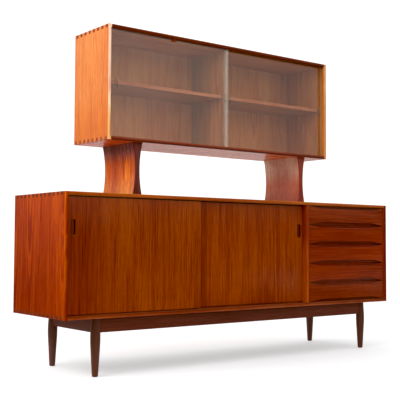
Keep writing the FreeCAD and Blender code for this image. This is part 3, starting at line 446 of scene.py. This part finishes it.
LOOK["base_side_right"] = teak("teak_base_side_right", "z", "y", SIDE_BASE, leaf=0.12, seed=4, flat=0.5, gloss=0.06, rough=0.3, tint=(1.0, 0.25, 0.05), vary=1.8,
                               shade=front_edge(BASE_FRONT, (0.62, 0.46, 2.0), 0.004))
# painted light and shade: the lower part is lighter, the top darker where the overhang shades it
LOOK["base_partition"] = teak("teak_partition", "z", "y", times(CASE, 1.2, 0.95, 1.5), leaf=0.12, seed=5, shade=below("z", 0.50, 0.62, (1.4, 2.1, 1.0)))
LOOK["hutch_top"] = teak("teak_hutch_top", "x", "y", CASE, leaf=0.15, seed=6, end=(0.15, 0.018, 0.003),
                         shade=both(block({"y": (None, HUTCH_FRONT + 0.005, 0.0005), "z": (None, 1.5500, 0.0006)}, EDGE_DARK),
                                    # painted highlight along the upper arris of the front edge
                                    block({"y": (None, HUTCH_FRONT + 0.005, 0.0005), "z": (1.5502, None, 0.0006)}, (1.3, 2.2, 2.5)),
                                    # painted light: the underside inside the hutch is lightened towards the interior
                                    # colour
                                    block({"y": (HUTCH_FRONT + 0.015, None, 0.003), "z": (None, 1.5372, 0.0004)}, (2.3, 5.6, 13.0))))
# painted light: the board's colour is pushed very bright for the bounced light on the hutch's underside; the inner face
# is brought to the interior colour, also painted light, and the front edge is multiplied back down dark
LOOK["hutch_bottom"] = teak("teak_hutch_bottom", "x", "y", (1.0, 0.195, 0.030), leaf=0.15, seed=7, rough=0.25, gloss=0.32, tint=(1.0, 0.66, 0.46), relief=0.06, end=(0.19, 0.026, 0.003),
                            shade=both(block({"y": (HUTCH_FRONT + 0.015, None, 0.003), "z": (1.0405, None, 0.0004)}, (0.95, 1.94, 3.33)),
                                       block({"y": (None, HUTCH_FRONT + 0.005, 0.0005)}, (0.21, 0.075, 0.06)),
                                       block({"y": (None, HUTCH_FRONT + 0.005, 0.0005), "z": (None, 1.0335, 0.0012)}, (0.35, 0.10, 0.10))))
LOOK["hutch_side_left"] = teak("teak_hutch_side_left", "z", "y", SIDE_HUTCH, leaf=0.10, seed=8, flat=0.5, vary=0.7,
                               edge=0.0035, worn=0.8,
                               # painted highlight: the front edge is made near cream for the glare of the light from
                               # the left
                               shade=both(below("z", 1.08, 1.30, (0.97, 0.82, 0.44)), front_edge(HUTCH_FRONT, (1.95, 4.6, 18.0), 0.0010),
                                          # painted light: the inner face is lightened towards the interior colour
                                          block({"y": (HUTCH_FRONT + 0.015, None, 0.003), "x": (-0.6868, None, 0.0004)}, (1.3, 1.9, 2.8))))
LOOK["hutch_side_right"] = teak("teak_hutch_side_right", "z", "y", SIDE_HUTCH, leaf=0.10, seed=9, flat=0.5, vary=0.7,
                                edge=0.006, worn=0.8,
                                # painted highlight: the front edge is lightened for the light from the left, less than
                                # on the left side
                                shade=both(front_edge(HUTCH_FRONT, (1.45, 2.1, 4.5), 0.002),
                                           # painted light: the inner face behind the pane is lightened towards the
                                           # interior colour
                                           block({"y": (HUTCH_FRONT + 0.0270, None, 0.0015), "x": (None, 0.6868, 0.0004)}, (1.2, 1.7, 2.5))))
inner = teak("teak_inner", "z", "y", INSIDE_LIT, leaf=0.12, seed=10, vary=0.55,
             # painted shade: the front edge strip is darkened, and the faces darken towards the back
             shade=both(span("y", -0.0260, -0.0225, 0.0003, (0.72, 0.66, 0.7)), block({"y": (0.10, None, 0.08)}, (0.78, 0.80, 0.84))))
inner_shelf = teak("teak_shelf", "x", "y", INSIDE_LIT, leaf=0.13, seed=11, vary=0.7,
                   shade=both(span("y", -0.0260, -0.0225, 0.0003, (0.76, 0.64, 0.95)),
                              # painted shade: the underside of the shelf is darkened
                              block({"y": (-0.0222, None, 0.0003), "z": (1.28, 1.2914, 0.0003)}, (0.55, 0.58, 0.70))))
LOOK["base_divider"] = inner
LOOK["hutch_divider"] = teak("teak_hutch_divider", "z", "y", times(INSIDE_LIT, 0.77, 0.80, 1.05), leaf=0.12, seed=10, vary=0.55,
                             # painted shade: the front edge strip is darkened, and the faces darken towards the back
                             shade=both(span("y", -0.0260, -0.0225, 0.0003, (0.72, 0.66, 0.7)), block({"y": (0.10, None, 0.08)}, (0.72, 0.90, 1.0))))
for n in ("base_shelf_left", "base_shelf_right", "hutch_shelf_left", "hutch_shelf_right"):
    LOOK[n] = inner_shelf
LOOK["base_back"] = teak("teak_base_back", "z", "x", times(INSIDE_LIT, 0.80, 0.60, 0.60), leaf=0.24, flat=0.9, seed=12, gloss=0.25, vary=0.65)
LOOK["hutch_back"] = teak("teak_hutch_back", "z", "x", INSIDE_LIT, leaf=0.175, flat=0.7, seed=13, gloss=0.25, vary=0.45,
                          shade=block({"y": (0.2290, None, 0.0005)}, (0.82, 0.62, 0.62)))
DOOR_FINISH = dict(leaf=0.17, flat=0.2, vary=1.8, relief=0.10, rough=0.15, smears=0.10, gloss=0.45, tint=(1.0, 0.8, 0.7), worn=0.3)
# painted shadow: the top strip of the door faces is darkened to deepen the gap under the base top
top_gap_shadow = span("z", 0.7526, 0.7600, 0.0004, (0.10, 0.07, 0.12))
LOOK["door_left"] = teak("teak_door_left", "z", "x", DOOR, seed=14, **DOOR_FINISH,
                         # darker and redder towards the left end: partly the door's own tone, partly painted shadow
                         # from the side panel's edge
                         shade=both(below("x", -0.99, -0.66, (0.70, 0.42, 0.8)), top_gap_shadow))
LOOK["door_right"] = teak("teak_door_right", "z", "x", times(DOOR, 1.08, 1.05, 1.0), seed=15, **DOOR_FINISH,
                          # painted shadow: the strip along the right door's left edge is darkened where the front door
                          # shades it
                          shade=both(below("x", -0.255, -0.238, (0.74, 0.52, 0.8)), top_gap_shadow))
for side, face, mid, wall in (("left", 0.008, -0.9575, (0.05, 0.03, 0.06)), ("right", 0.026, 0.3515, (0.45, 0.22, 0.40))):
    deep = BASE_FRONT + face + 0.0015
    LOOK["door_pull_" + side] = teak("teak_pull_" + side, "z", "x", (0.120, 0.018, 0.004), leaf=0.3, flat=0.2, seed=16, rough=0.26,
                                     gloss=0.25, tint=(1.0, 0.6, 0.4), edge=0.0012, worn=0.4,
                                     shade=both(block({"y": (deep, None, 0.0006)}, (1.7, 1.3, 1.5)),
                                                # painted shade: the slot's right wall is darkened, almost to black on
                                                # the left pull
                                                block({"y": (deep, None, 0.0006), "x": (mid + 0.0070, None, 0.0006)}, wall),
                                                # painted shadow: a dark line down the left side of the pull
                                                block({"x": (None, mid - 0.0090, 0.0005)}, (0.30, 0.15, 0.4)),
                                                # painted highlights: the top and bottom ends of the rim are lightened
                                                block({"z": (None, 0.5925, 0.0012)}, (2.0, 3.6, 6.0)),
                                                block({"z": (0.6615, None, 0.0012)}, (2.0, 3.6, 6.0))))
for k, board in enumerate(((0.74, 0.76, 0.8), (0.92, 0.86, 0.9), (0.95, 0.90, 0.9), (0.90, 0.84, 0.9), (0.94, 1.15, 1.5)), 1):
    LOOK["drawer_front_%d" % k] = teak("teak_drawer_%d" % k, "x", "z", times(DRAWER, *board), leaf=0.30, flat=0.35, seed=30 + 1.7 * k, tone=0.7,
                                       vary=1.7, relief=0.08, rough=0.12, smears=0.10, gloss=0.45, tint=(1.0, 0.58, 0.38) if k < 3 else (1.0, 0.8, 0.7), reach=2.2, edge=0.0016,
                                       # painted shade: everything behind the face of the front, the hexagonal recesses
                                       # between fronts included, is darkened
                                       shade=span("y", BASE_FRONT + 0.0088, 1.0, 0.0005, (0.74, 0.40, 0.50)))
PALE, PALE_END = (0.56, 0.36, 0.19), (0.30, 0.16, 0.07)
WHITE = (1.0, 1.0, 1.0)
pale = teak("beech_box", "y", "z", PALE, vary=0.5, end=PALE_END, leaf=0.2, flat=0.4, seed=18, rough=0.6, gloss=0.2, tint=WHITE)
ply = teak("beech_ply", "x", "y", PALE, vary=0.5, end=PALE_END, leaf=0.3, flat=1.0, seed=19, rough=0.6, gloss=0.2, tint=WHITE)
for k in range(1, 6):
    LOOK["drawer_box_%d" % k] = pale
    LOOK["drawer_bottom_%d" % k] = ply
LOOK["drawer_runners"] = pale
LOOK["corner_blocks"] = pale
LOOK["riser_dowels"] = teak("beech_dowel", "z", "x", PALE, vary=0.5, end=PALE_END, leaf=0.2, seed=20, rough=0.6, gloss=0.2, tint=WHITE)
TINT_FRAME = (1.0, 0.6, 0.45)
legs = teak("teak_leg", "z", "x", FRAME, leaf=0.4, flat=0.3, seed=21, rough=0.38, gloss=0.5, tint=TINT_FRAME)
for n in ("leg_front_left", "leg_front_right"):
    LOOK[n] = legs
# painted light: the back legs are coloured lighter and greyer than the front legs of the same wood
LOOK["leg_back_left"] = LOOK["leg_back_right"] = teak("teak_leg_back", "z", "x", times(FRAME, 1.38, 2.1, 3.6), leaf=0.4, flat=0.3, seed=27,
                                                      rough=0.38, gloss=0.5, tint=TINT_FRAME)
LOOK["apron_front"] = LOOK["apron_back"] = teak("teak_apron_long", "x", "z", times(FRAME, 1.75, 1.45, 1.5), leaf=0.3, flat=0.3, seed=22,
                                                gloss=0.3, vary=1.3, tint=TINT_FRAME)
LOOK["apron_left"] = LOOK["apron_right"] = teak("teak_apron_short", "y", "z", times(FRAME, 1.75, 1.45, 1.5), leaf=0.3, flat=0.3, seed=23,
                                                gloss=0.3, vary=1.3, tint=TINT_FRAME)
riser_front = front_edge(-0.0505, (0.245, 0.28, 4.0), 0.004)
LOOK["riser_left"] = teak("teak_riser_left", "z", "y", RISER_LEFT, leaf=0.30, flat=0.6, seed=24, gloss=0.15, rough=0.3, vary=1.7,
                          tint=(1.0, 0.5, 0.3),
                          shade=both(spot((0, 0.125, 0.9), (None, 0.022, 0.30), (0.84, 0.72, 0.8)),
                                     spot((0, 0.052, 0.935), (None, 0.009, 0.075), (0.62, 0.42, 0.7)),
                                     # painted highlight: a bright orange patch in the middle of the left face
                                     spot((0, 0.020, 0.905), (None, 0.020, 0.05), (1.25, 1.5, 0.6), 0.8),
                                     block({"y": (-0.0455, -0.010, 0.012)}, (0.88, 0.78, 1.0)),
                                     # painted shade and sheen at the top of the left face, under the hutch: red
                                     # lowered, green and blue raised
                                     block({"z": (0.970, None, 0.040), "y": (-0.0455, 0.2155, 0.0006)}, (0.62, 1.55, 22.0)),
                                     # painted light: lighter and pinker towards the bottom of the left face
                                     block({"z": (None, 0.840, 0.060), "y": (-0.0455, 0.2155, 0.0006)}, (1.05, 1.75, 4.5)),
                                     block({"y": (0.2155, None, 0.0005)}, (0.45, 0.50, 1.5)), riser_front))
LOOK["riser_right"] = teak("teak_riser_right", "z", "y", RISER_RIGHT_LIT, leaf=0.30, flat=0.6, seed=25, gloss=0.25, rough=0.3, tint=WHITE,
                           # the painted highlight fades down the left face into painted shade near the bottom
                           shade=both(block({"z": (None, 0.935, 0.065), "x": (None, 0.5275, 0.0005), "y": (-0.0465, 0.2155, 0.0005)}, (0.64, 0.235, 0.155)),
                                      block({"z": (None, 0.830, 0.050), "x": (None, 0.5275, 0.0005), "y": (-0.0465, 0.2155, 0.0005)}, (0.58, 0.36, 0.20)),
                                      # the right face, the back end and the front edge are multiplied back down to
                                      # plain wood colour
                                      block({"x": (0.5275, None, 0.0005), "y": (-0.0465, 0.2155, 0.0005)}, (0.56, 0.125, 0.030)),
                                      block({"y": (0.2155, None, 0.0005)}, (0.34, 0.060, 0.018)),
                                      front_edge(-0.0505, (0.265, 0.034, 0.010), 0.004)))
LOOK["track_keeper"] = teak("teak_keeper", "x", "y", times(CASE, 0.62, 0.42, 0.6), leaf=0.3, seed=26)
LOOK["shelf_pins"] = metal("brass_pin", (0.62, 0.42, 0.16), 0.28)
LOOK["frame_screws"] = metal("steel_screw", (0.5, 0.5, 0.5), 0.35)
LOOK["door_glide_strips"] = plastic("glide_strip", (0.42, 0.34, 0.24))
LOOK["hutch_track_top"] = LOOK["hutch_track_bottom"] = plastic("track", (0.17, 0.060, 0.022))
for side, free, film in (("left", 1, 1.0), ("right", -1, 0.35)):
    low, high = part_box("glass_" + side)
    LOOK["glass_" + side] = pane("pane_" + side, low.x, high.x, free, film)

for name, obj in NODES.items():
    obj.data.materials.clear()
    obj.data.materials.append(LOOK[name])

# ---------------------------------------------------------------------------
# Studio: pale floor, white surroundings, large soft lights
# ---------------------------------------------------------------------------

mesh = bpy.data.meshes.new("floor")
mesh.from_pydata([(-6, -7, 0), (9, -7, 0), (9, 6, 0), (-6, 6, 0)], [], [(0, 1, 2, 3)])
floor = bpy.data.objects.new("floor", mesh)
SCENE.collection.objects.link(floor)
g = Graph("studio_floor")
paper = g.node("ShaderNodeBsdfPrincipled")
paper.inputs["Base Color"].default_value = (0.58, 0.585, 0.59, 1.0)
paper.inputs["Roughness"].default_value = 0.75
paper.inputs["Specular IOR Level"].default_value = 0.2
paper.inputs["Emission Color"].default_value = (1.0, 1.0, 1.0, 1.0)
paper.inputs["Emission Strength"].default_value = 0.33
low = g.node("ShaderNodeBsdfDiffuse")
low.inputs["Color"].default_value = (0.41, 0.41, 0.41, 1.0)
ray = g.node("ShaderNodeLightPath")
two = g.node("ShaderNodeMixShader")
g.put(two.inputs[0], ray.outputs["Is Diffuse Ray"])
g.tree.links.new(paper.outputs[0], two.inputs[1])
g.tree.links.new(low.outputs[0], two.inputs[2])
# the polished faces reflect an unlit floor in front; it is lit close by, behind, and far to the right
unlit = g.node("ShaderNodeBsdfDiffuse")
unlit.inputs["Color"].default_value = (0.07, 0.07, 0.07, 1.0)
px, py, pz = g.split(g.node("ShaderNodeTexCoord").outputs["Object"])
near = g.math("MULTIPLY", g.ranged(g.math("ABSOLUTE", px), 1.15, 1.6, 1.0, 0.0, smooth=True), g.ranged(g.math("ABSOLUTE", py), 0.7, 1.3, 1.0, 0.0, smooth=True))
lit = g.math("MAXIMUM", near, g.math("MAXIMUM", g.math("MULTIPLY", g.ranged(py, 0.5, 1.2, smooth=True), g.ranged(px, -1.1, -0.6, smooth=True)), g.ranged(px, 4.6, 5.6, smooth=True)))
three = g.node("ShaderNodeMixShader")
g.put(three.inputs[0], g.math("MULTIPLY", ray.outputs["Is Glossy Ray"], g.math("SUBTRACT", 1.0, lit)))
g.tree.links.new(two.outputs[0], three.inputs[1])
g.tree.links.new(unlit.outputs[0], three.inputs[2])
mesh.materials.append(g.surface(three.outputs[0]))
floor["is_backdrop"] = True

ROOM_LOW, ROOM_HIGH, ROOM_DARK, BACK_DARK, ROOM_LEFT, ROOM_RIGHT, SWEEP = 0.03, 0.11, 0.05, 0.15, 1.00, 1.50, 1.45

world = bpy.data.worlds.new("studio")
SCENE.world = world
world.use_nodes = True
t = world.node_tree
t.nodes.clear()


def wnode(kind, *values, **props):
    n = t.nodes.new(kind)
    for k, v in props.items():
        setattr(n, k, v)
    for i, v in enumerate(values):
        if isinstance(v, bpy.types.NodeSocket):
            t.links.new(v, n.inputs[i])
        elif v is not None:
            n.inputs[i].default_value = v
    return n.outputs[0]


# What the piece reflects: a lit floor close by, an unlit band of room about the horizon, bright walls and ceiling above it.
way = t.nodes.new("ShaderNodeTexCoord").outputs["Generated"]
sep = t.nodes.new("ShaderNodeSeparateXYZ")
t.links.new(way, sep.inputs[0])
dx, dy, dz = sep.outputs
front = wnode("ShaderNodeMapRange", dy, 0.25, -0.15, 0.0, 1.0, interpolation_type="SMOOTHSTEP")
dark = wnode("ShaderNodeMapRange", front, 0.0, 1.0, BACK_DARK, ROOM_DARK)
above = wnode("ShaderNodeMapRange", dz, ROOM_LOW, ROOM_HIGH, dark, 1.0, interpolation_type="SMOOTHSTEP")
across = wnode("ShaderNodeMapRange", dx, -0.8, 0.8, ROOM_LEFT, ROOM_RIGHT)
walls = wnode("ShaderNodeMapRange", front, 0.0, 1.0, SWEEP, across)
# a dimmer part of the room, low at the front right, which the panes mirror
dim = wnode("ShaderNodeMapRange", dx, 0.46, 0.72, 0.0, 0.42, interpolation_type="SMOOTHSTEP")
dim = wnode("ShaderNodeMath", dim, wnode("ShaderNodeMapRange", dx, 0.80, 0.92, 1.0, 0.0, interpolation_type="SMOOTHSTEP"), operation="MULTIPLY")
dim = wnode("ShaderNodeMath", dim, wnode("ShaderNodeMapRange", dz, 0.06, 0.10, 0.0, 1.0, interpolation_type="SMOOTHSTEP"), operation="MULTIPLY")
dim = wnode("ShaderNodeMath", dim, wnode("ShaderNodeMapRange", dz, 0.32, 0.45, 1.0, 0.0, interpolation_type="SMOOTHSTEP"), operation="MULTIPLY")
dim = wnode("ShaderNodeMath", dim, front, operation="MULTIPLY")
walls = wnode("ShaderNodeMath", walls, wnode("ShaderNodeMath", 1.0, dim, operation="SUBTRACT"), operation="MULTIPLY")
light = wnode("ShaderNodeMath", above, walls, operation="MULTIPLY")
around = t.nodes.new("ShaderNodeBackground")
around.inputs["Color"].default_value = (1.0, 1.0, 1.0, 1.0)
t.links.new(light, around.inputs["Strength"])
seen = t.nodes.new("ShaderNodeBackground")
seen.inputs["Color"].default_value = (1.0, 1.0, 1.0, 1.0)
seen.inputs["Strength"].default_value = 1.15
path = t.nodes.new("ShaderNodeLightPath")
pick = t.nodes.new("ShaderNodeMixShader")
t.links.new(path.outputs["Is Camera Ray"], pick.inputs[0])
t.links.new(around.outputs[0], pick.inputs[1])
t.links.new(seen.outputs[0], pick.inputs[2])
out = t.nodes.new("ShaderNodeOutputWorld")
t.links.new(pick.outputs[0], out.inputs["Surface"])


def softbox(name, where, target, wide, tall, power, colour=(1.0, 1.0, 1.0)):
    data = bpy.data.lights.new(name, "AREA")
    data.shape = "RECTANGLE"
    data.size, data.size_y = wide, tall
    data.energy = power
    data.color = colour
    obj = bpy.data.objects.new(name, data)
    SCENE.collection.objects.link(obj)
    obj.location = where
    obj.rotation_mode = "QUATERNION"
    obj.rotation_quaternion = (Vector(target) - Vector(where)).to_track_quat("-Z", "Y")
    obj.visible_camera = False
    return obj


softbox("key_left", (-2.5, -0.35, 1.95), (-0.75, 0.0, 1.1), 1.3, 1.1, 50.0, (1.0, 0.985, 0.97))

# ---------------------------------------------------------------------------
# Camera, at the photograph's place
# ---------------------------------------------------------------------------

yaw, pitch, roll = 0.65822, 0.05025, 0.00490
fwd = Vector((math.sin(yaw) * math.cos(pitch), math.cos(yaw) * math.cos(pitch), math.sin(pitch)))
right = Vector((math.cos(yaw), -math.sin(yaw), 0.0))
up = right.cross(fwd)
r2 = right * math.cos(roll) + up * math.sin(roll)
u2 = up * math.cos(roll) - right * math.sin(roll)
cam_data = bpy.data.cameras.new("camera")
cam_data.sensor_width = 36.0
cam_data.lens = 74.324
cam = bpy.data.objects.new("camera", cam_data)
SCENE.collection.objects.link(cam)
m = Matrix((r2, u2, -fwd)).transposed().to_4x4()
m.translation = Vector((-2.62425, -3.23434, 0.56972))
cam.matrix_world = m
SCENE.camera = cam

SCENE.view_settings.view_transform = "Standard"
SCENE.view_settings.look = "None"
SCENE.view_settings.exposure = 0.0
SCENE.view_settings.gamma = 1.0
SCENE.view_settings.use_curve_mapping = True
SCENE.view_settings.curve_mapping.black_level = (0.0, 0.004, 0.008)
SCENE.view_settings.curve_mapping.update()

low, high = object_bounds()
